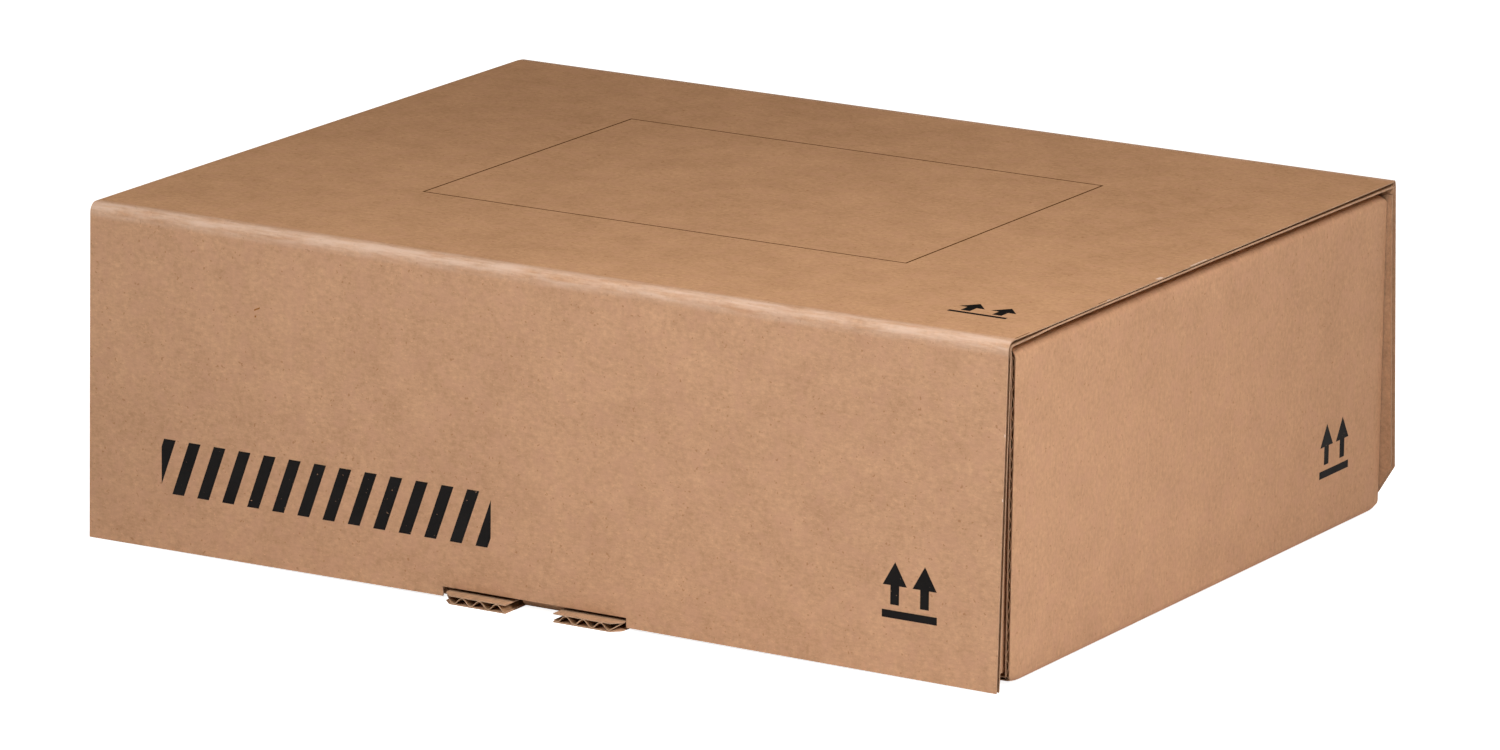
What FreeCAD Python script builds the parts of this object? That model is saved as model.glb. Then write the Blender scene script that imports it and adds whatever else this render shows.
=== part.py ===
import FreeCAD, Part
import os
import re
import Sketcher

# Corrugated mailer box with a hinged lid, closed. Millimetres, +Z up, front at -Y.
# The origin lies under the middle of the box, on the surface that it stands on.
# One sheet of single-wall board is cut and folded into a tray with rolled side walls,
# a lid on the top fold of the rear wall, and a flap on the front fold of the lid.

SIZES = {
    # The sheet
    "board": 3.0,
    "layer_gap": 0.3,
    "mitre_gap": 0.12,
    # The closed box
    "box_height": 111.5,
    "lid_length": 337.0,
    "lid_depth": 264.0,
    "lid_gap": 1.0,
    "fold_radius": 2.8,
    # The tray
    "tray_length": 332.4,
    "front_setback": 5.2,
    "front_gap": 0.4,
    "rear_gap": 2.0,
    "floor_fold_radius": 2.5,
    "roll_radius": 4.0,
    "roll_inner_radius": 1.2,
    "corner_cut": 2.8,
    "dust_flap_length": 100.0,
    "dust_flap_relief": 1.0,
    # The rear wall
    "rear_top_length": 334.8,
    "rear_low_length": 339.4,
    "rear_foot_length": 328.0,
    "rear_cut_low": 5.0,
    "rear_cut_high": 14.5,
    # The locking tabs of the rolled walls, and their slots in the floor
    "tab_length": 45.0,
    "tab_spacing": 130.0,
    "tab_clearance": 0.25,
    "tab_lift": 0.3,
    # The front flap
    "flap_lift": 0.9,
    "flap_droop": 0.7,
    "flap_foot_length": 336.1,
    "flap_sway": 1.45,
    "notch_length": 68.0,
    "notch_height": 3.2,
    # The ears of the floor, which reach through the notch of the front flap
    "ear_reach": 4.5,
    "ear_spacing": 17.7,
    "ear_length": 23.9,
    "ear_shift": 1.0,
    "ear_corner": 3.0,
    "ear_clearance": 0.3,
    # The open flutes at cut ends, and the grooves between the liners of the side edges
    "flute_pitch": 6.4,
    "flute_depth": 1.6,
    "liner": 0.55,
    "groove_depth": 0.8,
}

# Faces and heights that several pieces share
FLAP_FACE = "(-(lid_depth - ear_reach) / 2)"
REAR_FACE = "((lid_depth + ear_reach) / 2)"
WALL_FACE = f"({FLAP_FACE} + front_setback)"
SIDE_FRONT = f"({WALL_FACE} + board + front_gap)"
SIDE_REAR = f"({REAR_FACE} - board - rear_gap)"
TRAY_HALF = "(tray_length / 2)"
OUTER_BACK = f"({TRAY_HALF} - board)"
DUST_FACE = f"({OUTER_BACK} - layer_gap)"
DUST_BACK = f"({DUST_FACE} - board)"
INNER_BACK = f"({DUST_BACK} - layer_gap)"
INNER_FACE = f"({INNER_BACK} - board)"
LID_HALF = "(lid_length / 2)"
WALL_TOP = "(box_height - board - lid_gap)"
ROLL_UNDERSIDE = f"({WALL_TOP} - board)"
NOTCH_TOP = "(flap_lift + notch_height)"
MARGIN = "10"

doc = FreeCAD.newDocument("mailer_box")


def make_sheet():
    """Keeps every driving size as a plain number with an alias."""
    sheet = doc.addObject("Spreadsheet::Sheet", "Sizes")
    for row, (name, value) in enumerate(SIZES.items(), start=1):
        sheet.set(f"A{row}", name)
        sheet.set(f"B{row}", str(value))
        sheet.setAlias(f"B{row}", name)
    doc.recompute()
    return sheet


def bound(text):
    """Turns the names of sizes in a formula into references to the sheet."""
    return re.sub(r"[a-z]+(?:_[a-z]+)*",
                  lambda word: f"Sizes.{word.group()}" if word.group() in SIZES else word.group(),
                  str(text))


def number(text):
    """Gives the present value of a formula."""
    result = sheet.evalExpression(bound(text))
    return float(getattr(result, "Value", result))


def add_sketch(body, name, plane, offset="0"):
    """Adds a sketch that lies parallel to one of the body's origin planes."""
    sketch = body.newObject("Sketcher::SketchObject", name)
    origin_plane = [item for item in body.Origin.OriginFeatures if item.Role == plane][0]
    sketch.AttachmentSupport = [(origin_plane, "")]
    sketch.MapMode = "FlatFace"
    sketch.setExpression("AttachmentOffset.Base.z", bound(offset))
    return sketch


def pin(sketch, edge, end, place):
    """Ties one end of an edge to a place given by two formulas."""
    for kind, formula in zip(("DistanceX", "DistanceY"), place):
        index = sketch.addConstraint(Sketcher.Constraint(kind, -1, 1, edge, end, number(formula)))
        sketch.setExpression(f"Constraints[{index}]", bound(formula))


def toward(start, end):
    """Gives the direction of an upright or level edge as two signs."""
    across = number(end[0]) - number(start[0])
    along = number(end[1]) - number(start[1])
    if abs(across) > abs(along):
        return (1 if across > 0 else -1, 0)
    return (0, 1 if along > 0 else -1)


def shifted(corner, sign, direction, radius):
    """Moves a corner by a radius along an edge."""
    return tuple(f"({corner[axis]}) + {sign * direction[axis]} * ({radius})" for axis in (0, 1))


def add_outline(sketch, corners):
    """Draws a closed outline. A corner with a third formula is rounded to that radius."""
    count = len(corners)
    starts, ends, arcs = [], [], []
    for index, corner in enumerate(corners):
        if len(corner) == 2:
            ends.append(corner)
            starts.append(corner)
            arcs.append(None)
            continue
        arriving = toward(corners[index - 1], corner)
        leaving = toward(corner, corners[(index + 1) % count])
        ends.append(shifted(corner, -1, arriving, corner[2]))
        starts.append(shifted(corner, 1, leaving, corner[2]))
        arcs.append((arriving, leaving, corner[2]))
    lines = []
    for index in range(count):
        following = (index + 1) % count
        first = FreeCAD.Vector(number(starts[index][0]), number(starts[index][1]), 0)
        last = FreeCAD.Vector(number(ends[following][0]), number(ends[following][1]), 0)
        lines.append(sketch.addGeometry(Part.LineSegment(first, last)))
    for index in range(count):
        pin(sketch, lines[index], 1, starts[index])
        if arcs[index] is None:
            sketch.addConstraint(Sketcher.Constraint("Coincident", lines[index - 1], 2, lines[index], 1))
            continue
        pin(sketch, lines[index - 1], 2, ends[index])
        add_round(sketch, lines[index - 1], lines[index], arcs[index])


def add_round(sketch, before, after, bend):
    """Joins two edges by a quarter arc."""
    arriving, leaving, radius = bend
    size = number(radius)
    first = sketch.Geometry[before].EndPoint
    last = sketch.Geometry[after].StartPoint
    centre = first + FreeCAD.Vector(leaving[0] * size, leaving[1] * size, 0)
    middle_way = (first + last) * 0.5 - centre
    middle = centre + middle_way.normalize() * size
    arc = sketch.addGeometry(Part.Arc(first, middle, last))
    turns_left = arriving[0] * leaving[1] - arriving[1] * leaving[0] > 0
    near, far = (1, 2) if turns_left else (2, 1)
    sketch.addConstraint(Sketcher.Constraint("Coincident", before, 2, arc, near))
    sketch.addConstraint(Sketcher.Constraint("Coincident", after, 1, arc, far))
    index = sketch.addConstraint(Sketcher.Constraint("Radius", arc, size))
    sketch.setExpression(f"Constraints[{index}]", bound(radius))


def extrude(body, kind, sketch, length, name):
    """Pads or pockets a sketch along its own normal and checks that it did something."""
    doc.recompute()
    before = body.Shape.Volume if body.Tip else 0.0
    feature = body.newObject(f"PartDesign::{kind}", name)
    feature.Profile = sketch
    feature.setExpression("Length", bound(length))
    feature.Reversed = kind == "Pocket"
    sketch.Visibility = False
    doc.recompute()
    grown = feature.Shape.Volume - before
    if (grown <= 0) if kind == "Pad" else (grown >= 0):
        raise RuntimeError(f"{name} changes nothing")
    return feature


def pad(body, name, plane, start, end, outlines):
    """Adds material between two positions along the plane's axis."""
    sketch = add_sketch(body, name + "_outline", plane, along_normal(plane, start, end)[0])
    for corners in outlines:
        add_outline(sketch, corners)
    return extrude(body, "Pad", sketch, along_normal(plane, start, end)[1], name)


def cut(body, name, plane, start, end, outlines):
    """Removes material between two positions along the plane's axis."""
    sketch = add_sketch(body, name + "_outline", plane, along_normal(plane, start, end)[0])
    for corners in outlines:
        add_outline(sketch, corners)
    return extrude(body, "Pocket", sketch, along_normal(plane, start, end)[1], name)


def along_normal(plane, start, end):
    """Gives the offset and the length of an extrusion. The XZ plane looks along -Y."""
    if plane == "XZ_Plane":
        return f"-({end})", f"({end}) - ({start})"
    return start, f"({end}) - ({start})"


def rectangle(left, right, low, high):
    """Gives the four corners of a rectangle."""
    return [(left, low), (right, low), (right, high), (left, high)]


def both_sides(corners, middle="0"):
    """Gives an outline on the right of a middle line and its mirror image on the left."""
    right = [(f"{middle} + {corner[0]}", *corner[1:]) for corner in corners]
    left = [(f"{middle} - ({corner[0]})", *corner[1:]) for corner in corners]
    return [right, left]


def round_edge(body, name, base, place, radius):
    """Rounds the edge along X that passes through a place given in Y and Z."""
    target = FreeCAD.Vector(0, number(place[0]), number(place[1]))
    names = []
    for index, edge in enumerate(base.Shape.Edges, start=1):
        middle = edge.CenterOfMass
        level = abs(edge.tangentAt(edge.FirstParameter).x) > 0.99
        if level and abs(middle.y - target.y) < 0.01 and abs(middle.z - target.z) < 0.01:
            names.append(f"Edge{index}")
    feature = body.newObject("PartDesign::Fillet", name)
    feature.Base = (base, names)
    feature.setExpression("Radius", bound(radius))
    doc.recompute()
    return feature


def front_mitre(side):
    """Outline of what lies past the mitre of the lid's front fold. side is 1 above it, -1 below."""
    near_line = f"({side} * mitre_gap)"
    reach = "(1.2 * board)"
    return [
        (f"{FLAP_FACE} - {reach}", f"box_height + {reach} - {near_line}"),
        (f"{FLAP_FACE} + {reach}", f"box_height - {reach} - {near_line}"),
        (f"{FLAP_FACE} + {side} * {reach}", f"box_height + {side} * {reach}"),
    ]


def rear_mitre(side):
    """Outline of what lies past the mitre of the lid's rear fold. side is 1 above it, -1 below."""
    near_line = f"({side} * mitre_gap)"
    reach = "(1.2 * board)"
    return [
        (f"{REAR_FACE} - {reach}", f"box_height - {reach} - {near_line}"),
        (f"{REAR_FACE} + {reach}", f"box_height + {reach} - {near_line}"),
        (f"{REAR_FACE} - {side} * {reach}", f"box_height + {side} * {reach}"),
    ]


def add_side_walls(tray):
    """The floor, and the side walls that roll over and come down again inside."""
    inner_foot = "(board + layer_gap)"
    right = [
        (TRAY_HALF, "0", "floor_fold_radius"),
        (TRAY_HALF, WALL_TOP, "roll_radius"),
        (INNER_FACE, WALL_TOP, "roll_radius"),
        (INNER_FACE, inner_foot),
        (INNER_BACK, inner_foot),
        (INNER_BACK, ROLL_UNDERSIDE, "roll_inner_radius"),
        (OUTER_BACK, ROLL_UNDERSIDE, "roll_inner_radius"),
        (OUTER_BACK, "board"),
    ]
    left = [(f"-{corner[0]}", *corner[1:]) for corner in reversed(right)]
    pad(tray, "side_walls", "XZ_Plane", SIDE_FRONT, SIDE_REAR, [right + left])
    corners = [
        [(SIDE_FRONT, "0"), (f"{SIDE_FRONT} + corner_cut", "0"), (SIDE_FRONT, "corner_cut")],
        [(SIDE_REAR, WALL_TOP), (f"{SIDE_REAR} - corner_cut", WALL_TOP),
         (SIDE_REAR, f"{WALL_TOP} - corner_cut")],
    ]
    cut(tray, "side_corners", "YZ_Plane", f"-{LID_HALF}", LID_HALF, corners)


def add_front_and_rear_walls(tray):
    """The front wall, the floor and the rear wall in one bend, as wide as the dust flaps allow."""
    section = [
        (WALL_FACE, "0", "floor_fold_radius"),
        (REAR_FACE, "0", "floor_fold_radius"),
        (REAR_FACE, "rear_cut_high"),
        (f"{REAR_FACE} - board", "rear_cut_high"),
        (f"{REAR_FACE} - board", "board"),
        (f"{WALL_FACE} + board", "board"),
        (f"{WALL_FACE} + board", WALL_TOP),
        (WALL_FACE, WALL_TOP),
    ]
    pad(tray, "front_wall_and_floor", "YZ_Plane", f"-{DUST_BACK}", DUST_BACK, [section])


def add_rear_wall(tray):
    """The rear wall stands wider than the tray, splays to its foot and is cut slanting there."""
    foot, low, top = "(rear_foot_length / 2)", "(rear_low_length / 2)", "(rear_top_length / 2)"
    half = [(foot, "rear_cut_low"), (low, "rear_cut_high"), (top, "box_height")]
    outline = half + [(f"-{corner[0]}", corner[1]) for corner in reversed(half)]
    wall = pad(tray, "rear_wall", "XZ_Plane", f"{REAR_FACE} - board", REAR_FACE, [outline])
    round_edge(tray, "rear_fold", wall, (REAR_FACE, "box_height"), "fold_radius")
    cut(tray, "rear_mitre", "YZ_Plane", f"-{LID_HALF} - {MARGIN}", f"{LID_HALF} + {MARGIN}",
        [rear_mitre(1)])
    cut_leaning_grooves(tray, f"{REAR_FACE} - board + liner", f"{REAR_FACE} - liner",
                        (f"-{low}", low, "rear_cut_high"), (f"-{top}", top, "box_height"),
                        "rear_cut_high", "box_height - 2 * board")


def add_dust_flaps(tray):
    """The flaps on the ends of the front wall turn back between the layers of the side walls."""
    end = f"({WALL_FACE} + dust_flap_length)"
    bend_inside = f"({DUST_BACK} - layer_gap)"
    right = [
        (bend_inside, WALL_FACE),
        (DUST_FACE, WALL_FACE, "fold_radius"),
        (DUST_FACE, end),
        (DUST_BACK, end),
        (DUST_BACK, f"{WALL_FACE} + board"),
        (bend_inside, f"{WALL_FACE} + board"),
    ]
    low = "(board + dust_flap_relief)"
    high = f"({ROLL_UNDERSIDE} - dust_flap_relief)"
    pad(tray, "dust_flaps", "XY_Plane", low, high, both_sides(right))


def add_locking_tabs(tray):
    """The rolled walls end in tabs that stand in slots through the floor."""
    slots, tabs = [], []
    for sign in (-1, 1):
        middle = f"({sign} * tab_spacing / 2 + ({SIDE_FRONT} + {SIDE_REAR}) / 2)"
        near, far = f"({middle} - tab_length / 2)", f"({middle} + tab_length / 2)"
        slots += both_sides(rectangle(f"{INNER_FACE} - tab_clearance", f"{INNER_BACK} + tab_clearance",
                                      f"{near} - tab_clearance", f"{far} + tab_clearance"))
        tabs += both_sides(rectangle(INNER_FACE, INNER_BACK, near, far))
    cut(tray, "tab_slots", "XY_Plane", "-board", "board", slots)
    pad(tray, "tabs", "XY_Plane", "tab_lift", "2 * board", tabs)


def add_ears(tray):
    """Two ears of the floor stay level where the front wall bends up, and leave slots in that wall."""
    near, far = "(ear_spacing / 2)", "(ear_spacing / 2 + ear_length)"
    tip, root = f"({FLAP_FACE} - ear_reach)", f"({WALL_FACE} + 2 * board)"
    slot = rectangle(f"{near} - ear_clearance", f"{far} + ear_clearance", "-board", f"{WALL_FACE} - {tip}")
    cut(tray, "ear_slots", "XZ_Plane", f"{WALL_FACE} - board", f"{WALL_FACE} + board",
        both_sides(slot, "ear_shift"))
    ear = [(near, root), (near, tip), (f"{far} - ear_corner", tip), (far, f"{tip} + ear_corner"), (far, root)]
    pad(tray, "ears", "XY_Plane", "0", "board", both_sides(ear, "ear_shift"))


def cut_ear_flutes(tray):
    """The flutes of the board stand open at the cut ends of the ears."""
    crest, trough = "(board - liner)", "liner"
    first = "(ear_spacing / 2 + liner)"
    count = int(number("ear_length - ear_corner - liner") // number("flute_pitch / 2"))
    triangles = []
    for index in range(count):
        left = f"({first} + {index} * flute_pitch / 2)"
        right = f"({left} + flute_pitch / 2 - liner)"
        base, point = (crest, trough) if index % 2 else (trough, crest)
        flute = [(left, base), (right, base), (f"({left} + {right}) / 2", point)]
        triangles += both_sides(flute, "ear_shift")
    tip = f"({FLAP_FACE} - ear_reach)"
    cut(tray, "ear_flutes", "XZ_Plane", f"{tip} - board", f"{tip} + flute_depth", triangles)


def cut_wall_flutes(tray):
    """The flutes of the side walls stand open at the front and rear ends, in both layers."""
    half_pitch = "(flute_pitch / 2)"
    first = "(2 * board)"
    flutes = []
    for back, face in ((OUTER_BACK, TRAY_HALF), (INNER_FACE, INNER_BACK)):
        near, far = f"({back} + liner)", f"({face} - liner)"
        for start, base, point in ((first, near, far), (f"({first} + {half_pitch})", far, near)):
            end = f"({start} + {half_pitch} - liner)"
            flutes += both_sides([(base, start), (base, end), (point, f"({start} + {end}) / 2")])
    cuts = [
        cut(tray, "front_flutes", "XZ_Plane", f"{SIDE_FRONT} - board", f"{SIDE_FRONT} + flute_depth", flutes),
        cut(tray, "rear_flutes", "XZ_Plane", f"{SIDE_REAR} - flute_depth", f"{SIDE_REAR} + board", flutes),
    ]
    rows = int(number(f"{ROLL_UNDERSIDE} - {first} - corner_cut") // number("flute_pitch"))
    pattern = tray.newObject("PartDesign::LinearPattern", "rows_of_flutes")
    pattern.Originals = cuts
    upward = [item for item in tray.Origin.OriginFeatures if item.Role == "Z_Axis"][0]
    pattern.Direction = (upward, [""])
    pattern.Occurrences = rows
    pattern.setExpression("Length", bound(f"{rows - 1} * flute_pitch"))
    tray.Tip = pattern
    doc.recompute()
    if pattern.Shape.Volume >= cuts[-1].Shape.Volume:
        raise RuntimeError("rows_of_flutes changes nothing")


def cut_leaning_grooves(body, start, end, foot, top, low, high):
    """The medium sits back between the liners along the two side edges of an upright panel.

    foot and top hold the left and right ends of the panel and their height."""
    for name, side, sign in (("left_groove", 0, -1), ("right_groove", 1, 1)):
        lean = f"(({top[side]} - {foot[side]}) / ({top[2]} - {foot[2]}))"
        inset, outset = f"({sign} * groove_depth)", f"({sign} * {MARGIN})"
        low_edge = f"({foot[side]} + {lean} * ({low} - {foot[2]}))"
        high_edge = f"({foot[side]} + {lean} * ({high} - {foot[2]}))"
        outline = [(f"{low_edge} - {inset}", low), (f"{low_edge} + {outset}", low),
                   (f"{high_edge} + {outset}", high), (f"{high_edge} - {inset}", high)]
        cut(body, name, "XZ_Plane", start, end, [outline])


def cut_lid_grooves(lid):
    """The medium sits back between the liners along the side edges of the lid."""
    groove = rectangle(f"{FLAP_FACE} + 2 * board", f"{REAR_FACE} - 2 * board",
                       "box_height - board + liner", "box_height - liner")
    inner = f"({LID_HALF} - groove_depth)"
    cut(lid, "right_groove", "YZ_Plane", inner, f"{LID_HALF} + {MARGIN}", [groove])
    cut(lid, "left_groove", "YZ_Plane", f"-{LID_HALF} - {MARGIN}", f"-{inner}", [groove])


def make_tray():
    tray = doc.addObject("PartDesign::Body", "tray")
    tray.Label = "tray"
    add_side_walls(tray)
    add_front_and_rear_walls(tray)
    add_rear_wall(tray)
    add_dust_flaps(tray)
    add_locking_tabs(tray)
    add_ears(tray)
    cut_ear_flutes(tray)
    cut_wall_flutes(tray)
    return tray


def make_lid():
    lid = doc.addObject("PartDesign::Body", "lid")
    lid.Label = "lid"
    section = [
        (FLAP_FACE, "box_height - board"),
        (REAR_FACE, "box_height - board"),
        (REAR_FACE, "box_height", "fold_radius"),
        (FLAP_FACE, "box_height", "fold_radius"),
    ]
    pad(lid, "panel", "YZ_Plane", f"-{LID_HALF}", LID_HALF, [section])
    cut(lid, "mitres", "YZ_Plane", f"-{LID_HALF} - {MARGIN}", f"{LID_HALF} + {MARGIN}",
        [front_mitre(-1), rear_mitre(-1)])
    cut_lid_grooves(lid)
    return lid


def make_front_flap():
    """The flap's foot droops to its ends, hangs a little askew and has a notch for the ears."""
    flap = doc.addObject("PartDesign::Body", "front_flap")
    flap.Label = "front_flap"
    notch = "(notch_length / 2)"
    corner_height = "(flap_lift - flap_droop)"
    foot_left, foot_right = "(-flap_foot_length / 2 - flap_sway)", "(flap_foot_length / 2 - flap_sway)"
    outline = [
        (f"-{LID_HALF}", "box_height"),
        (foot_left, corner_height),
        (f"-{notch}", "flap_lift"),
        (f"-{notch}", NOTCH_TOP),
        (notch, NOTCH_TOP),
        (notch, "flap_lift"),
        (foot_right, corner_height),
        (LID_HALF, "box_height"),
    ]
    panel = pad(flap, "panel", "XZ_Plane", FLAP_FACE, f"{FLAP_FACE} + board", [outline])
    round_edge(flap, "front_fold", panel, (FLAP_FACE, "box_height"), "fold_radius")
    cut(flap, "mitre", "YZ_Plane", f"-{LID_HALF} - {MARGIN}", f"{LID_HALF} + {MARGIN}", [front_mitre(1)])
    cut_leaning_grooves(flap, f"{FLAP_FACE} + liner", f"{FLAP_FACE} + board - liner",
                        (foot_left, foot_right, corner_height), (f"-{LID_HALF}", LID_HALF, "box_height"),
                        f"{corner_height} + board", "box_height - 2 * board")
    return flap


def check(bodies):
    """Stops before anything is written if a feature or a piece has failed."""
    for item in doc.Objects:
        if "Invalid" in item.State or "Error" in item.State:
            raise RuntimeError(f"{item.Name} failed")
    for body in bodies:
        if body.Shape.isNull() or not body.Shape.isValid() or len(body.Shape.Solids) != 1:
            raise RuntimeError(f"{body.Label} is not one valid solid")


sheet = make_sheet()
bodies = [make_tray(), make_lid(), make_front_flap()]
doc.recompute()
check(bodies)
os.makedirs("parts", exist_ok=True)
for body in bodies:
    body.Shape.exportStep(f"parts/{body.Label}.step")
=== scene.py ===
import math

import bpy
import numpy as np
from mathutils import Matrix, Vector


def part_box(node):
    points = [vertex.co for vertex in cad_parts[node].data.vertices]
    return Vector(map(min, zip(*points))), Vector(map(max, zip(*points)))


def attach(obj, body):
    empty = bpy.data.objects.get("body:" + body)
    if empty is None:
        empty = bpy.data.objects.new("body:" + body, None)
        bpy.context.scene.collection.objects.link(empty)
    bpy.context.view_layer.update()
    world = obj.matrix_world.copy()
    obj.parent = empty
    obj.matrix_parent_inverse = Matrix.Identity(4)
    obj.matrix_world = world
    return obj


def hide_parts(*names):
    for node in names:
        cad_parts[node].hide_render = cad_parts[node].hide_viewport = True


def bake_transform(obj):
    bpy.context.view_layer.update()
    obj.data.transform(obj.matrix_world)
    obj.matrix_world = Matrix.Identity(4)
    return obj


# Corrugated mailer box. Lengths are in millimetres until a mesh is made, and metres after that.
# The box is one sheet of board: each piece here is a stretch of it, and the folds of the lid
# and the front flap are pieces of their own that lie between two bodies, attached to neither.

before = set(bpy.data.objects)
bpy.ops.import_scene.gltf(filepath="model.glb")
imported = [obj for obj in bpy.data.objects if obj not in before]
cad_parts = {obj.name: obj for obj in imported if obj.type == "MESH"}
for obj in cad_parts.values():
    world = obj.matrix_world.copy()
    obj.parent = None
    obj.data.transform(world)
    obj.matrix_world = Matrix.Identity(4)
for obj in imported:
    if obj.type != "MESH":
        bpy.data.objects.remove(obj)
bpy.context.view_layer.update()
MM = 0.001

# The board: two liners with a waved medium between them
BOARD = 3.0
LINER = 0.36
MEDIUM = 0.28
FLUTE_PITCH = 6.4
STEPS_PER_FLUTE = 10
DEEP_GROOVE = 1.2
SHALLOW_GROOVE = 0.3
FLUTE_FLATNESS = 1.15
CRUSH_REACH = 6.0
CRUSH_STEPS = 4
END_CELL = 0.3
SPACING = 12.0
ARC_STEPS = 8
SHARP_ANGLE = math.radians(35)

# The box, from the frame
tray_low, tray_high = [np.array(corner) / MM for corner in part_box("tray")]
lid_high = np.array(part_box("lid")[1]) / MM
flap_low = np.array(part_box("front_flap")[0]) / MM
TOP = float(lid_high[2])
LID_HALF = float(lid_high[0])
REAR_FACE = float(tray_high[1])
FLAP_FACE = float(flap_low[1])
EAR_TIP = float(tray_low[1]) + 0.05
FLAP_LEFT_FOOT = float(flap_low[0])
FLAP_FOOT = float(flap_low[2])
REAR_LOW_HALF = float(tray_high[0])

# The folds of the lid, and how thick the cutting die left its side edges along its depth
FOLD_RADIUS = 3.1
FOLD_REACH = 5.0
LID_EDGE_PLACES = (FLAP_FACE, -112, -100, 0, 60, REAR_FACE)
LID_EDGE_THICKNESS = (2.0, 1.7, 1.25, 1.25, 1.6, 2.0)

# The tray
TRAY_HALF = 166.2
WALL_TOP = 107.5
WALL_FACE = FLAP_FACE + 5.2
ROLL_RADIUS = 4.0
INNER_FACE = 156.6
INNER_FOOT = 3.3
SIDE_FRONT = WALL_FACE + BOARD + 1.9
SIDE_REAR = REAR_FACE - BOARD - 0.5
FLOOR_HALF = 159.9
FLOOR_FOLD = 3.4
CORNER_CUT = 2.8
WALL_EDGE = 1.5
WALL_EDGE_SINK = 0.7
TAB_HALF = 22.5
TAB_SPACING = 130.0
TAB_FOOT = 0.3
TAB_CLEARANCE = 0.25
DUST_FACE = TRAY_HALF - BOARD - 0.3
DUST_RADIUS = 2.9
DUST_LENGTH = 100.0
DUST_LOW = 4.0
DUST_HIGH = 103.5

# The rear wall
REAR_TOP_HALF = 166.9
REAR_FOOT_HALF = 164.0
REAR_CUT_LOW = 5.0
REAR_CUT_HIGH = 14.5
REAR_STEP = 0.01
REAR_FLOOR = 8.0

# The front flap, its notch and the ears of the floor
FLAP_RIGHT_FOOT = 166.6
FLAP_LIFT = 0.9
FLAP_DROOP_HEIGHT = 30.0
FLAP_EDGE = 2.0
NOTCH_HALF = 34.0
NOTCH_TOP = 4.1
EAR_SHIFT = 1.0
EAR_NEAR = 8.85
EAR_FAR = 32.75
EAR_CORNER = 3.0
EAR_CLEARANCE = 0.3
EAR_ROOT = WALL_FACE + FLOOR_FOLD
SLOT_TOP = WALL_FACE - EAR_TIP

# The camera, fitted to the corners of the box in a picture of 1500 by 750 pixels
IMAGE_WIDTH = 1500
CAMERA_TURN = math.radians(30.41)
CAMERA_HEIGHT = math.radians(14.19)
CAMERA_ROLL = math.radians(0.72)
FOCAL_PIXELS = 9171.0
SENSOR_WIDTH = 36.0
FAR_CLIP = 100
FITTED_CORNER = (-168.5, FLAP_FACE, 0.5)
CORNER_FROM_CAMERA = (-213.1, -52.2, 2970.3)


def make_camera():
    """FITTED_CORNER lies at CORNER_FROM_CAMERA: right, up and ahead of the camera."""
    data = bpy.data.cameras.new("camera")
    data.sensor_width = SENSOR_WIDTH
    data.lens = FOCAL_PIXELS / IMAGE_WIDTH * SENSOR_WIDTH
    data.clip_end = FAR_CLIP
    camera = bpy.data.objects.new("camera", data)
    bpy.context.scene.collection.objects.link(camera)
    turn = Matrix.Rotation(CAMERA_TURN, 3, "Z")
    tilt = Matrix.Rotation(math.pi / 2 - CAMERA_HEIGHT, 3, "X")
    roll = Matrix.Rotation(CAMERA_ROLL, 3, "Z")
    axes = turn @ tilt @ roll
    right, up, back = axes.col[0], axes.col[1], axes.col[2]
    across, above, ahead = CORNER_FROM_CAMERA
    place = Vector(FITTED_CORNER) - right * across - up * above + back * ahead
    camera.matrix_world = Matrix.Translation(place * MM) @ axes.to_4x4()
    bpy.context.scene.camera = camera


# Sheets of board

def smooth_path(points):
    """Gives a path's places from its corners, given as (across, up) or (across, up, radius)."""
    places = []
    for index, corner in enumerate(points):
        here = np.array(corner[:2], float)
        if len(corner) == 2:
            places.append(here)
            continue
        before = np.array(points[index - 1][:2], float) - here
        after = np.array(points[index + 1][:2], float) - here
        before /= np.linalg.norm(before)
        after /= np.linalg.norm(after)
        half = math.acos(np.clip(before @ after, -1, 1)) / 2
        middle = (before + after) / np.linalg.norm(before + after)
        centre = here + middle * corner[2] / math.sin(half)
        first = here + before * corner[2] / math.tan(half) - centre
        last = here + after * corner[2] / math.tan(half) - centre
        turn = math.atan2(first[0] * last[1] - first[1] * last[0], first @ last)
        for step in range(ARC_STEPS + 1):
            angle = turn * step / ARC_STEPS
            side = np.array([-first[1], first[0]])
            places.append(centre + first * math.cos(angle) + side * math.sin(angle))
    return np.array(places)


def divide(stops, spacing):
    """Adds stops so that none are further apart than spacing."""
    full = [stops[0]]
    for stop in stops[1:]:
        count = max(1, math.ceil((stop - full[-1]) / spacing - 1e-6))
        full += list(np.linspace(full[-1], stop, count + 1)[1:])
    return np.array(full)


def resample(path, spacing):
    """Divides a path into steps no longer than spacing, its own corners among them."""
    places = smooth_path(path)
    lengths = np.concatenate([[0], np.cumsum(np.linalg.norm(np.diff(places, axis=0), axis=1))])
    full = divide(lengths, spacing)
    return np.stack([np.interp(full, lengths, places[:, axis]) for axis in (0, 1)], axis=1), full


def normals_of(places):
    """Gives the normal at the right hand of a path's direction of travel."""
    ahead = np.gradient(places, axis=0)
    ahead /= np.linalg.norm(ahead, axis=1)[:, None]
    return np.stack([ahead[:, 1], -ahead[:, 0]], axis=1)


def waved(length):
    """Gives the medium's swing from the middle of the board at a length across the flutes."""
    swing = (BOARD - 2 * LINER - MEDIUM) / 2
    return swing * np.clip(np.sin(2 * np.pi * length / FLUTE_PITCH) * FLUTE_FLATNESS, -1, 1)


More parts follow.
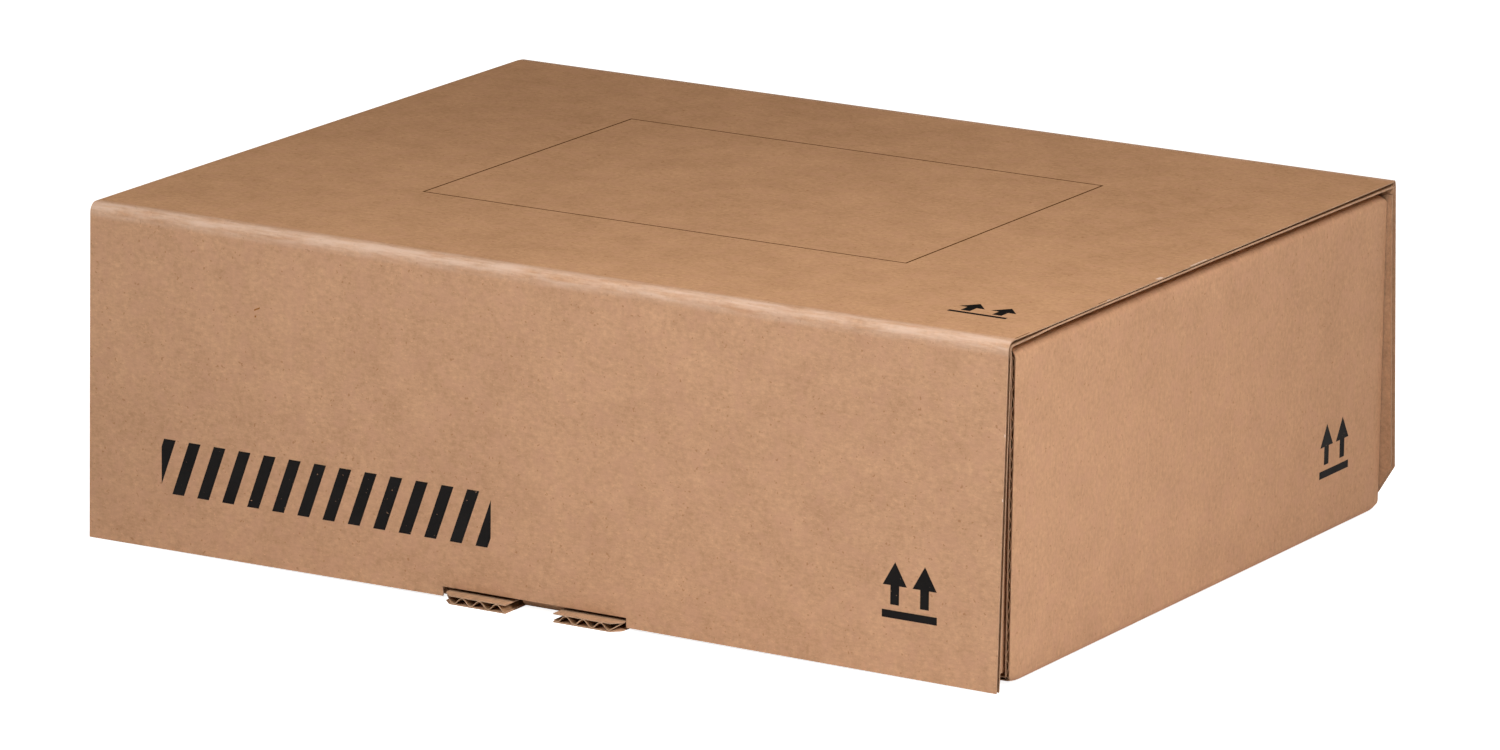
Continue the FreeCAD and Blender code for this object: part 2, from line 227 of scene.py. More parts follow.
def crushed(depth, to_end, edge, sink):
    """Presses the board together towards its ends, as the cutting die does.

    edge: how thick it is left there. sink: how far its outer face is pressed in."""
    squeeze = (BOARD - edge) / (BOARD - LINER)
    share = np.clip(1 - to_end / CRUSH_REACH, 0, 1) ** 2
    return LINER / 2 + (depth - LINER / 2) * (1 - squeeze * share) + sink * share


def strip(path, widths, keep=None, columns=(), flutes="along", edge=None, sink=0.0,
          groove=DEEP_GROOVE):
    """Makes the three layers of a folded strip of board.

    path: corners of the outer face in the plane of the folds, which lies at its right hand.
    widths(across, up): the two ends of the strip at a place on the path.
    keep(side, across, up): False where a slot or a notch leaves no board.
    columns: sides where such a cut begins or ends.
    flutes: whether they run "along" the path or "across" it.
    edge(across, up): how thick the board is left at the two ends.
    sink: how far its outer face is pressed in there.
    groove: how far the medium sits back between the liners of an edge that runs along the flutes."""
    layers = []
    for kind, thickness in (("outer", LINER), ("medium", MEDIUM), ("inner", LINER)):
        fine = FLUTE_PITCH / STEPS_PER_FLUTE if kind == "medium" else SPACING
        places, lengths = resample(path, fine if flutes == "across" else SPACING)
        normals = normals_of(places)
        ends = np.array([widths(*place) for place in places])
        if kind == "medium" and flutes == "along":
            ends += np.array([groove, -groove])
        low, high = ends[:, 0].max(), ends[:, 1].min()
        inner = {low + END_CELL, high - END_CELL} | {side for side in columns if low < side < high}
        if edge:
            reaches = [CRUSH_REACH * step / CRUSH_STEPS for step in range(1, CRUSH_STEPS + 1)]
            inner |= {end for reach in reaches for end in (low + reach, high - reach)}
        inner = divide(sorted(inner), fine if flutes == "along" else SPACING)
        sides = np.concatenate([ends[:, :1], np.tile(inner, (len(places), 1)), ends[:, 1:]], axis=1)
        if kind == "outer":
            depth = np.full(sides.shape, LINER / 2)
        elif kind == "inner":
            depth = np.full(sides.shape, BOARD - LINER / 2)
        elif flutes == "along":
            depth = BOARD / 2 + waved(sides)
        else:
            depth = BOARD / 2 + waved(np.tile(lengths[:, None], (1, sides.shape[1])))
        if edge:
            to_end = np.minimum(sides - sides[:, :1], sides[:, -1:] - sides)
            depth = crushed(depth, to_end, np.array([[edge(*place)] for place in places]), sink)
        grid = np.stack([sides, places[:, :1] - normals[:, :1] * depth,
                         places[:, 1:] - normals[:, 1:] * depth], axis=2)
        middles = (places[1:] + places[:-1]) / 2
        cells = (sides[1:, 1:] + sides[:-1, :-1]) / 2
        mask = [[keep is None or keep(side, *middle) for side in row]
                for row, middle in zip(cells, middles)]
        layers.append((grid, np.array(mask), thickness))
    return layers


def turned(layers, order):
    """Reorders the axes of every layer, so that a strip drawn in one plane stands in another."""
    return [(grid[:, :, list(order)], mask, thickness) for grid, mask, thickness in layers]


def mirrored(layers):
    """Mirrors every layer across the middle of the box."""
    return [(grid * np.array([-1, 1, 1]), mask, thickness) for grid, mask, thickness in layers]


def close(grid, mask, thickness):
    """Makes one closed sheet of paper. Its faces are in slot 0 and its cut edges in slot 1."""
    columns = grid.shape[1]
    faces = []
    for row, column in zip(*np.nonzero(mask)):
        first = int(row * columns + column)
        faces.append((first, first + 1, first + columns + 1, first + columns))
    used = sorted({corner for face in faces for corner in face})
    places = {corner: index for index, corner in enumerate(used)}
    mesh = bpy.data.meshes.new("layer")
    mesh.from_pydata((grid.reshape(-1, 3)[used] * MM).tolist(), [],
                     [[places[corner] for corner in face] for face in faces])
    mesh.materials.append(None)
    mesh.materials.append(None)
    loose = bpy.data.objects.new("layer", mesh)
    bpy.context.scene.collection.objects.link(loose)
    paper = loose.modifiers.new("paper", "SOLIDIFY")
    paper.thickness = thickness * MM
    paper.offset = 0
    paper.material_offset_rim = 1
    graph = bpy.context.evaluated_depsgraph_get()
    graph.update()
    closed = bpy.data.meshes.new_from_object(loose.evaluated_get(graph))
    bpy.data.objects.remove(loose)
    bpy.data.meshes.remove(mesh)
    return closed


def join(name, sheets, surfaces, edge):
    """Joins closed sheets into one object. Each has a surface of its own, and all share the edge."""
    vertices, faces, slots = [], [], []
    for index, mesh in enumerate(sheets):
        start = len(vertices)
        vertices += [tuple(vertex.co) for vertex in mesh.vertices]
        for polygon in mesh.polygons:
            faces.append([start + corner for corner in polygon.vertices])
            slots.append(len(surfaces) if polygon.material_index else index)
        bpy.data.meshes.remove(mesh)
    mesh = bpy.data.meshes.new(name)
    mesh.from_pydata(vertices, [], faces)
    for material in (*surfaces, edge):
        mesh.materials.append(material)
    mesh.polygons.foreach_set("material_index", slots)
    mesh.polygons.foreach_set("use_smooth", [True] * len(faces))
    mesh.update()
    mesh.set_sharp_from_angle(angle=SHARP_ANGLE)
    piece = bpy.data.objects.new(name, mesh)
    bpy.context.scene.collection.objects.link(piece)
    return piece


def board(name, layers, outer):
    """Makes a piece of board from its three layers."""
    piece = join(name, [close(*layer) for layer in layers], (outer, MEDIUM_PAPER, INNER_PAPER), CUT_EDGE)
    return piece


# Materials

PAPER_GLOSS = 0.12


def linear(red, green, blue):
    """Gives a colour from its red, green and blue on a screen, 0 to 255."""
    levels = [value / 255 for value in (red, green, blue)]
    return [level / 12.92 if level <= 0.04045 else ((level + 0.055) / 1.055) ** 2.4 for level in levels]


def shaded(colour, *shares):
    """Scales each channel of a colour."""
    return [value * share for value, share in zip(colour, shares)]


class Graph:
    """Builds the nodes of one material."""

    def __init__(self, name):
        self.material = bpy.data.materials.new(name)
        self.material.use_nodes = True
        self.tree = self.material.node_tree
        self.tree.nodes.clear()
        self.place = self.add("ShaderNodeTexCoord").outputs["Object"]

    def add(self, kind, **settings):
        node = self.tree.nodes.new(kind)
        for key, value in settings.items():
            setattr(node, key, value)
        return node

    def feed(self, socket, value):
        if isinstance(value, bpy.types.NodeSocket):
            self.tree.links.new(value, socket)
        else:
            socket.default_value = value

    def maths(self, operation, *values):
        node = self.add("ShaderNodeMath", operation=operation)
        for socket, value in zip(node.inputs, values):
            self.feed(socket, value)
        return node.outputs[0]

    def scaled(self, *scales):
        """Gives the place on the object with each axis scaled: features per metre."""
        node = self.add("ShaderNodeMapping")
        self.feed(node.inputs["Vector"], self.place)
        node.inputs["Scale"].default_value = scales
        return node.outputs[0]

    def noise(self, scales, detail=2.0, roughness=0.5):
        """Gives a noise from 0 to 1 with its mean at 0.5."""
        node = self.add("ShaderNodeTexNoise")
        self.feed(node.inputs["Vector"], self.scaled(*scales))
        node.inputs["Scale"].default_value = 1.0
        node.inputs["Detail"].default_value = detail
        node.inputs["Roughness"].default_value = roughness
        return node.outputs["Fac"]

    def spread(self, value, low, high, start=0.0, end=1.0):
        """Maps a value from low..high to start..end, and holds it there."""
        node = self.add("ShaderNodeMapRange")
        for socket, item in zip(node.inputs, (value, low, high, start, end)):
            self.feed(socket, item)
        return node.outputs[0]

    def mix(self, factor, first, second):
        node = self.add("ShaderNodeMix", data_type="RGBA")
        self.feed(node.inputs[0], factor)
        for socket, colour in ((node.inputs[6], first), (node.inputs[7], second)):
            self.feed(socket, colour if isinstance(colour, bpy.types.NodeSocket) else (*colour, 1))
        return node.outputs[2]

    def axes(self):
        """Gives x, y and z on the object in millimetres."""
        node = self.add("ShaderNodeSeparateXYZ")
        self.feed(node.inputs[0], self.scaled(1 / MM, 1 / MM, 1 / MM))
        return node.outputs[:3]

    def finish(self, colour, roughness, height, distance):
        """Ends in a matt surface with a bump of the given height."""
        shader = self.add("ShaderNodeBsdfPrincipled")
        self.feed(shader.inputs["Base Color"], colour)
        self.feed(shader.inputs["Roughness"], roughness)
        shader.inputs["Specular IOR Level"].default_value = PAPER_GLOSS
        bump = self.add("ShaderNodeBump")
        bump.inputs["Distance"].default_value = distance
        self.feed(bump.inputs["Height"], height)
        self.feed(shader.inputs["Normal"], bump.outputs[0])
        output = self.add("ShaderNodeOutputMaterial")
        self.feed(output.inputs["Surface"], shader.outputs[0])
        return self.material


KRAFT = linear(192, 147, 113)
# Pale folds: rubbed paper, partly a painted highlight on the bend
FOLD_WEAR_AND_HIGHLIGHT = linear(222, 192, 172)
INK_BLACK = linear(17, 14, 13)
INK_BROWN = linear(88, 54, 20)
TORN_PAPER = linear(222, 192, 172)
SLIT_SHADE = linear(74, 48, 30)
FIBRE_MARK = linear(150, 96, 44)


def kraft(name, fibres, ink=None, tint=(1.0, 1.0, 1.0)):
    """Kraft liner: clouds, mottle, fibres along the paper's grain, brown specks, and print.

    fibres: fibres per metre along each axis, fewest along the grain.
    ink(graph): (mask, colour) pairs of what is printed on it.
    tint: shares of red, green and blue against plain kraft."""
    base = shaded(KRAFT, *tint)
    graph = Graph(name)
    mottle = graph.noise((75, 75, 75), 3)
    grain = graph.noise((620, 620, 620), 3, 0.7)
    fibre = graph.noise(fibres, 3, 0.7)
    parts = [graph.maths("MULTIPLY", part, share) for part, share in
             ((graph.noise((9, 9, 9), 3), 0.16), (mottle, 0.20), (grain, 0.36), (fibre, 0.28))]
    total = parts[0]
    for part in parts[1:]:
        total = graph.maths("ADD", total, part)
    dark, light = shaded(base, 0.80, 0.78, 0.75), shaded(base, 1.18, 1.20, 1.23)
    colour = graph.mix(graph.spread(total, 0.36, 0.64), dark, light)
    blush = graph.spread(graph.noise((190, 190, 190), 2), 0.46, 0.66, 0.0, 0.45)
    colour = graph.mix(blush, colour, shaded(base, 1.04, 1.01, 1.10))
    specks = graph.spread(graph.noise((820, 820, 820), 1), 0.71, 0.76, 0.0, 0.55)
    colour = graph.mix(specks, colour, shaded(base, 0.62, 0.48, 0.34))
    hairs = graph.spread(graph.noise(tuple(2.1 * scale for scale in fibres), 1), 0.69, 0.75, 0.0, 0.35)
    colour = graph.mix(hairs, colour, shaded(base, 1.42, 1.46, 1.52))
    # Pale folds: rubbed paper, partly a painted highlight on the bend
    colour = graph.mix(fold_wear_and_highlight(graph), colour, FOLD_WEAR_AND_HIGHLIGHT)
    if ink:
        gaps = graph.spread(graph.noise((900, 900, 900), 2), 0.20, 0.27)
        for mask, shade in ink(graph):
            colour = graph.mix(graph.maths("MULTIPLY", mask, gaps), colour, shade)
    height = graph.maths("ADD", graph.maths("MULTIPLY", fibre, 0.5), graph.maths("MULTIPLY", grain, 0.5))
    return graph.finish(colour, graph.spread(mottle, 0.3, 0.7, 0.66, 0.80), height, 0.00014)


def fold_wear_and_highlight(graph):
    """The print side of the board is rubbed pale along the lid's two folds, with a painted highlight along
    their bends.
    """
    _, y, z = graph.axes()
    ahead = graph.maths("SUBTRACT", y, FLAP_FACE)
    behind = graph.maths("SUBTRACT", REAR_FACE, y)
    below = graph.maths("SUBTRACT", TOP, z)
    corner = graph.maths("ADD", graph.maths("MINIMUM", ahead, behind), below)
    wear_and_highlight = graph.spread(corner, 1.9, 5.2, 0.62, 0.0)
    ragged = graph.spread(graph.noise((60, 500, 500), 3, 0.7), 0.30, 0.62)
    return graph.maths("MULTIPLY", wear_and_highlight, ragged)


# What is printed, with its middle and its size. Across and up are x and y on the lid, x and z
# on the flap, and y and z on the side.
ADDRESS_FRAME = ((2, 7), (180, 130))
ADDRESS_LINE = 0.7
LID_ARROWS = ((143.2, -98.4), (20.5, 13))
FLAP_ARROWS = ((135.6, 27.7), (19.5, 18))
SIDE_ARROWS = ((96.3, 29), (20.5, 18))
STROKES = ((-78.7, 28.2), (125, 18))
STROKE_PITCH = 9.6
STROKE_SHARE = 0.47
STROKE_SLANT = 0.36

# Where the cutting die slit and tore the lid's right edge: low and high along y, and for the
# slits how far from the edge, for the tears how wide
SLITS = ((-124.4, -115.6), (-71.6, -63.8))
SLIT_NEAR, SLIT_FAR = 0.45, 0.75
TEARS = ((-33.2, -30.0, 1.3), (-66.6, -64.8, 0.5), (-11.7, -0.9, 0.5))

# Nicks in the flap's right edge: left, low and high. A stray fibre: left, right, low, high.
NICKS = ((167.6, 81.6, 82.5), (167.25, 61.2, 62.1))
FIBRE_LINE = (-105.5, -103.3, 84.65, 85.15)
FIBRE_DOT = (-105.3, -104.7, 82.1, 82.7)
FIBRE_PIVOT = 104.4
FIBRE_SLOPE = 0.45
PRINT_DEPTH = 1.0


def inside(graph, value, low, high):
    """1 where a value lies between two bounds."""
    return graph.maths("COMPARE", value, (low + high) / 2, (high - low) / 2)


def both(graph, first, second):
    """1 where two masks overlap."""
    return graph.maths("MULTIPLY", first, second)


def either(graph, first, second):
    """1 where at least one of two masks is."""
    return graph.maths("MAXIMUM", first, second)


def frame_mask(graph, across, up, centre, size, line):
    """The outline of a rectangle."""
    masks = []
    for shrink in (0, line):
        masks.append(both(graph,
                          graph.maths("COMPARE", across, centre[0], size[0] / 2 - shrink),
                          graph.maths("COMPARE", up, centre[1], size[1] / 2 - shrink)))
    return graph.maths("SUBTRACT", *masks)


def arrows_mask(graph, across, up, centre, size):
    """Two arrows that point up, side by side over a bar."""
    width, height = size
    foot = centre[1] - height / 2
    bar = both(graph, inside(graph, across, centre[0] - width / 2, centre[0] + width / 2),
               inside(graph, up, foot, foot + 0.14 * height))
    aside = graph.maths("ABSOLUTE", graph.maths("SUBTRACT", across, centre[0]))
    stem = both(graph, inside(graph, aside, 0.19 * width, 0.35 * width),
                inside(graph, up, foot + 0.24 * height, foot + 0.70 * height))
    from_arrow = graph.maths("ABSOLUTE", graph.maths("SUBTRACT", aside, 0.27 * width))
    from_tip = graph.maths("SUBTRACT", foot + height, up)
    slope = 0.22 * width / (0.42 * height)
    head = both(graph, graph.maths("LESS_THAN", from_arrow, graph.maths("MULTIPLY", from_tip, slope)),
                inside(graph, up, foot + 0.58 * height, foot + height))
    return either(graph, bar, either(graph, stem, head))


def strokes_mask(graph, across, up, centre, size):
    """A row of slanting strokes inside a rectangle."""
    area = both(graph, graph.maths("COMPARE", across, centre[0], size[0] / 2),
                graph.maths("COMPARE", up, centre[1], size[1] / 2))
    slanted = graph.maths("SUBTRACT", across, graph.maths("MULTIPLY", up, STROKE_SLANT))
    counted = graph.maths("ADD", graph.maths("DIVIDE", slanted, STROKE_PITCH), 100)
    phase = graph.maths("FRACT", counted)
    return both(graph, area, graph.maths("LESS_THAN", phase, STROKE_SHARE))


def patch(graph, across, up, left, right, low, high):
    """A filled rectangle."""
    return both(graph, inside(graph, across, left, right), inside(graph, up, low, high))


def lid_print(graph):
    """The address frame, the arrows, and where the cutting die tore and slit the right edge; the slits are
    painted shade.
    """
    x, y, z = graph.axes()
    upper = graph.maths("GREATER_THAN", z, TOP - PRINT_DEPTH)
    marks = [(frame_mask(graph, x, y, *ADDRESS_FRAME, ADDRESS_LINE), INK_BROWN),
             (arrows_mask(graph, x, y, *LID_ARROWS), INK_BLACK)]
    # The slits are painted shade: dark lines where the cuts open
    for low, high in SLITS:
        slit = patch(graph, x, y, LID_HALF - SLIT_FAR, LID_HALF - SLIT_NEAR, low, high)
        marks.append((slit, SLIT_SHADE))
    for low, high, width in TEARS:
        marks.append((patch(graph, x, y, LID_HALF - width, LID_HALF, low, high), TORN_PAPER))
    return [(both(graph, upper, mask), colour) for mask, colour in marks]


def flap_print(graph):
    """A row of strokes, the arrows, a stray fibre, and two nicks in the right edge."""
    x, y, z = graph.axes()
    outer = graph.maths("LESS_THAN", y, FLAP_FACE + PRINT_DEPTH)
    rise = graph.maths("MULTIPLY", graph.maths("ADD", x, FIBRE_PIVOT), FIBRE_SLOPE)
    slanted = graph.maths("SUBTRACT", z, rise)
    marks = [(strokes_mask(graph, x, z, *STROKES), INK_BLACK),
             (arrows_mask(graph, x, z, *FLAP_ARROWS), INK_BLACK),
             (patch(graph, x, slanted, *FIBRE_LINE), FIBRE_MARK),
             (patch(graph, x, z, *FIBRE_DOT), FIBRE_MARK)]
    for left, low, high in NICKS:
        marks.append((patch(graph, x, z, left, LID_HALF, low, high), TORN_PAPER))
    return [(both(graph, outer, mask), colour) for mask, colour in marks]


def side_print(graph):
    """The arrows on the right side."""
    x, y, z = graph.axes()
    outer = graph.maths("GREATER_THAN", x, TRAY_HALF - PRINT_DEPTH)
    return [(both(graph, outer, arrows_mask(graph, y, z, *SIDE_ARROWS)), INK_BLACK)]


def plain_paper(name, colour, fibres, roughness):
    """Unprinted paper with fibres."""
    graph = Graph(name)
    fibre = graph.noise(fibres, 3, 0.7)
    mottle = graph.noise((150, 150, 150), 3, 0.6)
    total = graph.maths("ADD", graph.maths("MULTIPLY", fibre, 0.6), graph.maths("MULTIPLY", mottle, 0.4))
    dark, light = (shaded(colour, share, share, share) for share in (0.78, 1.20))
    tint = graph.mix(graph.spread(total, 0.34, 0.66), dark, light)
    return graph.finish(tint, roughness, fibre, 0.0002)


ALONG_X = (420, 1100, 1100)
ALONG_Z = (1100, 1100, 420)
# The lid's kraft is tinted yellower and a little darker than the flap's, though both are one sheet: painted
# shade
LID_PAPER = kraft("kraft_lid", ALONG_X, lid_print, (1.0, 0.97, 0.89))
FLAP_PAPER = kraft("kraft_flap", ALONG_X, flap_print)
TRAY_PAPER = kraft("kraft_tray", ALONG_X)
RIGHT_SIDE_PAPER = kraft("kraft_right_side", ALONG_Z, side_print)
SIDE_PAPER = kraft("kraft_side", ALONG_Z)
MEDIUM_PAPER = plain_paper("kraft_medium", linear(150, 113, 82), (700, 700, 700), 0.85)
INNER_PAPER = plain_paper("kraft_inside", linear(180, 141, 110), (900, 300, 900), 0.82)
CUT_EDGE = plain_paper("cut_edge", linear(182, 146, 118), (900, 900, 900), 0.9)


# Pieces

def lid_widths(across, up):
    """The lid is as wide all along its depth."""
    return -LID_HALF, LID_HALF


def lid_edge(across, up):
    """The side edges of the lid are crushed, most in their front half."""
    return np.interp(across, LID_EDGE_PLACES, LID_EDGE_THICKNESS)


def flap_widths(across, up):
    """The flap hangs a little askew: its foot is shifted and narrower than its fold."""
    share = (TOP - up) / (TOP - FLAP_FOOT)
    return -LID_HALF + share * (FLAP_LEFT_FOOT + LID_HALF), LID_HALF + share * (FLAP_RIGHT_FOOT - LID_HALF)


def rear_widths(across, up):
    """The rear wall splays to its foot, is cut slanting there, and is narrow where it folds."""
    if up < REAR_CUT_LOW:
        half = FLOOR_HALF
    elif up < REAR_CUT_HIGH:
        half = np.interp(up, (REAR_CUT_LOW, REAR_CUT_HIGH), (REAR_FOOT_HALF, REAR_LOW_HALF))
    else:
        half = np.interp(up, (REAR_CUT_HIGH, TOP), (REAR_LOW_HALF, REAR_TOP_HALF))
    return -half, half


def rear_fold_widths(across, up):
    """The rear fold widens from the rear wall to the lid."""
    half = np.interp(REAR_FACE - across, (0, FOLD_REACH), (rear_widths(across, up)[1], LID_HALF))
    return -half, half


def make_lid():
    """The panel rides on the lid, and its two folds lie between the lid and its neighbours, attached to
    neither.
    """
    layers = strip([(REAR_FACE - FOLD_REACH, TOP), (FLAP_FACE + FOLD_REACH, TOP)], lid_widths,
                   edge=lid_edge, groove=SHALLOW_GROOVE)
    panel = board("lid_panel", layers, LID_PAPER)
    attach(panel, "lid")
    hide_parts("lid")

    layers = strip([(FLAP_FACE + FOLD_REACH, TOP), (FLAP_FACE, TOP, FOLD_RADIUS),
                    (FLAP_FACE, TOP - FOLD_REACH)], flap_widths, edge=lid_edge, groove=SHALLOW_GROOVE)
    fold = board("front_fold", layers, FLAP_PAPER)
    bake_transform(fold)

    layers = strip([(REAR_FACE, TOP - FOLD_REACH), (REAR_FACE, TOP, FOLD_RADIUS),
                    (REAR_FACE - FOLD_REACH, TOP)], rear_fold_widths, edge=lid_edge,
                   groove=SHALLOW_GROOVE)
    fold = board("rear_fold", layers, TRAY_PAPER)
    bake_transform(fold)


def make_flap():
    """The foot of the flap droops to its ends and has a notch for the ears."""
    path = [(FLAP_FACE, TOP - FOLD_REACH), (FLAP_FACE, FLAP_DROOP_HEIGHT), (FLAP_FACE, NOTCH_TOP),
            (FLAP_FACE, FLAP_LIFT)]
    layers = strip(path, flap_widths, edge=lambda across, up: FLAP_EDGE,
                   keep=lambda side, across, up: abs(side) > NOTCH_HALF or up > NOTCH_TOP,
                   columns=(-NOTCH_HALF, NOTCH_HALF))
    for grid, _, _ in layers:
        outward = np.clip((np.abs(grid[:, :, 0]) - NOTCH_HALF) / (LID_HALF - NOTCH_HALF), 0, 1)
        downward = np.clip((FLAP_DROOP_HEIGHT - grid[:, :, 2]) / (FLAP_DROOP_HEIGHT - FLAP_LIFT), 0, 1)
        grid[:, :, 2] -= (FLAP_LIFT - FLAP_FOOT) * outward * downward
    panel = board("flap_panel", layers, FLAP_PAPER)
    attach(panel, "front_flap")
    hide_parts("front_flap")


def in_ear(side, clearance):
    """Whether a place across the box lies within an ear."""
    return EAR_NEAR - clearance < abs(side - EAR_SHIFT) < EAR_FAR + clearance


def in_tab(along):
    """Whether a place along the box lies within a locking tab."""
    middle = (SIDE_FRONT + SIDE_REAR) / 2
    return abs(abs(along - middle) - TAB_SPACING / 2) < TAB_HALF


def tab_stops():
    """The places along the box where the locking tabs begin and end."""
    middle = (SIDE_FRONT + SIDE_REAR) / 2
    return sorted(middle + sign * TAB_SPACING / 2 + end * TAB_HALF for sign in (-1, 1) for end in (-1, 1))


def make_front_wall_and_floor():
    """One strip runs down the front wall and along the floor, with slots for ears and tabs."""
    slot_side = INNER_FACE - TAB_CLEARANCE

    def keep(side, across, up):
        if across < EAR_ROOT and up < SLOT_TOP and in_ear(side, EAR_CLEARANCE):
            return False
        return not (abs(side) > slot_side and up < 1 and in_tab(across))

    edges = [EAR_NEAR - EAR_CLEARANCE, EAR_FAR + EAR_CLEARANCE]
    columns = [EAR_SHIFT + sign * edge for edge in edges for sign in (-1, 1)] + [-slot_side, slot_side]
    path = [(WALL_FACE, WALL_TOP), (WALL_FACE, SLOT_TOP), (WALL_FACE, 0, FLOOR_FOLD)]
    path += [(stop, 0) for stop in tab_stops()] + [(REAR_FACE - REAR_FLOOR, 0)]
    layers = strip(path, lambda across, up: (-FLOOR_HALF, FLOOR_HALF), keep, columns)
    piece = board("front_wall_and_floor", layers, TRAY_PAPER)
    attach(piece, "tray")
    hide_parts("tray")


def make_rear_wall():
    """The wall steps out from the floor's width to its own at the foot of its slanting cut."""
    path = [(REAR_FACE - REAR_FLOOR, 0), (REAR_FACE, 0, FLOOR_FOLD),
            (REAR_FACE, REAR_CUT_LOW - REAR_STEP), (REAR_FACE, REAR_CUT_LOW),
            (REAR_FACE, REAR_CUT_HIGH), (REAR_FACE, TOP - FOLD_REACH)]
    layers = strip(path, rear_widths, groove=SHALLOW_GROOVE)
    piece = board("rear_wall", layers, TRAY_PAPER)
    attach(piece, "tray")


def side_widths(across, up):
    """The ends of a side wall, with its lower front and upper rear corners cut."""
    front = SIDE_FRONT
    if across > INNER_FACE + BOARD:
        front += max(0.0, CORNER_CUT - up)
    return front, SIDE_REAR - max(0.0, up - WALL_TOP + CORNER_CUT)


def make_side_walls():
    """The walls roll over and come down inside, where tabs stand in slots of the floor."""
    path = [(FLOOR_HALF, 0), (TRAY_HALF, 0, FLOOR_FOLD), (TRAY_HALF, WALL_TOP, ROLL_RADIUS),
            (INNER_FACE, WALL_TOP, ROLL_RADIUS), (INNER_FACE, INNER_FOOT), (INNER_FACE, TAB_FOOT)]
    layers = strip(path, side_widths,
                   keep=lambda side, across, up: (across > FLOOR_HALF - 1 or up > INNER_FOOT
                                                  or in_tab(side)),
                   columns=tab_stops(), flutes="across",
                   edge=lambda across, up: WALL_EDGE, sink=WALL_EDGE_SINK)
    right = turned(layers, (1, 0, 2))
    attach(board("side_wall_right", right, RIGHT_SIDE_PAPER), "tray")
    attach(board("side_wall_left", mirrored(right), SIDE_PAPER), "tray")


def make_dust_flaps():
    """The ends of the front wall turn back between the layers of the side walls."""
    path = [(FLOOR_HALF, WALL_FACE), (DUST_FACE, WALL_FACE, DUST_RADIUS), (DUST_FACE, WALL_FACE + DUST_LENGTH)]
    layers = strip(path, lambda across, up: (DUST_LOW, DUST_HIGH), flutes="across")
    right = turned(layers, (1, 2, 0))
    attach(board("dust_flap_right", right, SIDE_PAPER), "tray")
    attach(board("dust_flap_left", mirrored(right), SIDE_PAPER), "tray")


def make_ears():
    """Two ears of the floor stand level through the notch, their flutes open at the tip."""
    for name, sign in (("ear_right", 1), ("ear_left", -1)):
        def widths(across, up):
            cut = max(0.0, EAR_CORNER - (across - EAR_TIP))
            ends = sorted((EAR_SHIFT + sign * EAR_NEAR, EAR_SHIFT + sign * (EAR_FAR - cut)))
            return ends[0], ends[1]

        path = [(EAR_TIP, 0), (EAR_TIP + EAR_CORNER, 0), (EAR_ROOT, 0)]
        piece = board(name, strip(path, widths, groove=SHALLOW_GROOVE), TRAY_PAPER)
        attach(piece, "tray")


# Studio

FLOOR_SIZE = 20.0
FLOOR_LEVEL = -0.0001
AIM = (0.0, 0.0, 0.05)
LAMPS = {  # place, width and height in metres, power in watts and colour
    "key": ((0.74, -0.29, 0.75), (0.38, 0.38), 8.0, (0.965, 0.985, 1.0)),
    "fill": ((-0.02, -0.60, 0.53), (0.40, 0.40), 2.9, (0.88, 0.95, 1.0)),
    "rear": ((-0.85, 1.00, 0.055), (0.50, 0.09), 5.0, (0.965, 0.985, 1.0)),
}
AMBIENT = (1.0, 0.66, 0.32)
AMBIENT_LEVEL = 0.09
FLOOR_LIFT = 0.92


def seen_directly(graph):
    """1 for rays that show the backdrop: from the camera, or through a reflection."""
    path = graph.add("ShaderNodeLightPath")
    seen = graph.maths("MAXIMUM", path.outputs["Is Camera Ray"], path.outputs["Is Glossy Ray"])
    return graph.maths("MAXIMUM", seen, path.outputs["Is Transmission Ray"])


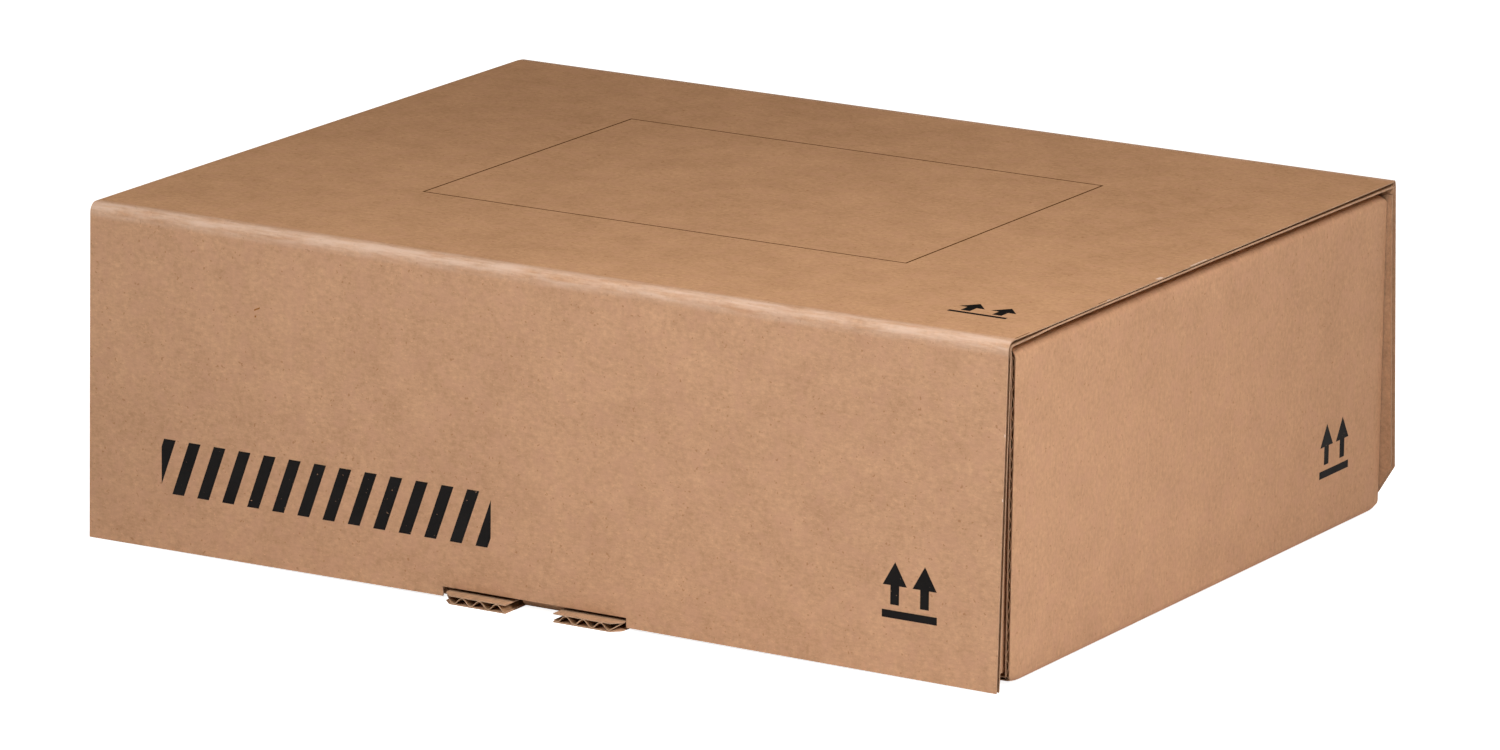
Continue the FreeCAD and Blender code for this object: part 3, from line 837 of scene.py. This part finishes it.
def make_floor():
    """A pale floor that looks white and keeps the box's shadow."""
    half = FLOOR_SIZE / 2
    mesh = bpy.data.meshes.new("floor")
    outline = [(-half, -half), (half, -half), (half, half), (-half, half)]
    corners = [(x, y, FLOOR_LEVEL) for x, y in outline]
    mesh.from_pydata(corners, [], [(0, 1, 2, 3)])
    floor = bpy.data.objects.new("floor", mesh)
    bpy.context.scene.collection.objects.link(floor)
    graph = Graph("floor_paper")
    grain = graph.spread(graph.noise((30, 30, 30), 2), 0.3, 0.7, 0.86, 0.90)
    tint = graph.add("ShaderNodeCombineColor")
    for socket in tint.inputs[:3]:
        graph.feed(socket, grain)
    matt = graph.add("ShaderNodeBsdfDiffuse")
    graph.feed(matt.inputs["Color"], tint.outputs[0])
    glow = graph.add("ShaderNodeEmission")
    graph.feed(glow.inputs["Strength"], graph.maths("MULTIPLY", seen_directly(graph), FLOOR_LIFT))
    total = graph.add("ShaderNodeAddShader")
    graph.feed(total.inputs[0], matt.outputs[0])
    graph.feed(total.inputs[1], glow.outputs[0])
    output = graph.add("ShaderNodeOutputMaterial")
    graph.feed(output.inputs["Surface"], total.outputs[0])
    mesh.materials.append(graph.material)


def make_lights():
    """A soft box high at the right, one above the front, a strip low behind, and weak light all round."""
    for name, (place, size, power, colour) in LAMPS.items():
        data = bpy.data.lights.new(name, "AREA")
        data.shape = "RECTANGLE"
        data.size, data.size_y = size
        data.energy = power
        data.color = colour
        lamp = bpy.data.objects.new(name, data)
        bpy.context.scene.collection.objects.link(lamp)
        lamp.location = place
        lamp.rotation_euler = (Vector(place) - Vector(AIM)).to_track_quat("Z", "Y").to_euler()
    world = bpy.data.worlds.new("studio")
    world.use_nodes = True
    bpy.context.scene.world = world
    tree = world.node_tree
    tree.nodes.clear()
    path = tree.nodes.new("ShaderNodeLightPath")
    around = tree.nodes.new("ShaderNodeBackground")
    around.inputs["Color"].default_value = (*AMBIENT, 1)
    around.inputs["Strength"].default_value = AMBIENT_LEVEL
    white = tree.nodes.new("ShaderNodeBackground")
    white.inputs["Color"].default_value = (1, 1, 1, 1)
    choice = tree.nodes.new("ShaderNodeMixShader")
    output = tree.nodes.new("ShaderNodeOutputWorld")
    tree.links.new(path.outputs["Is Camera Ray"], choice.inputs[0])
    tree.links.new(around.outputs[0], choice.inputs[1])
    tree.links.new(white.outputs[0], choice.inputs[2])
    tree.links.new(choice.outputs[0], output.inputs["Surface"])


make_camera()
make_lid()
make_flap()
make_front_wall_and_floor()
make_rear_wall()
make_side_walls()
make_dust_flaps()
make_ears()
make_floor()
make_lights()
bpy.context.scene.view_settings.view_transform = "Standard"
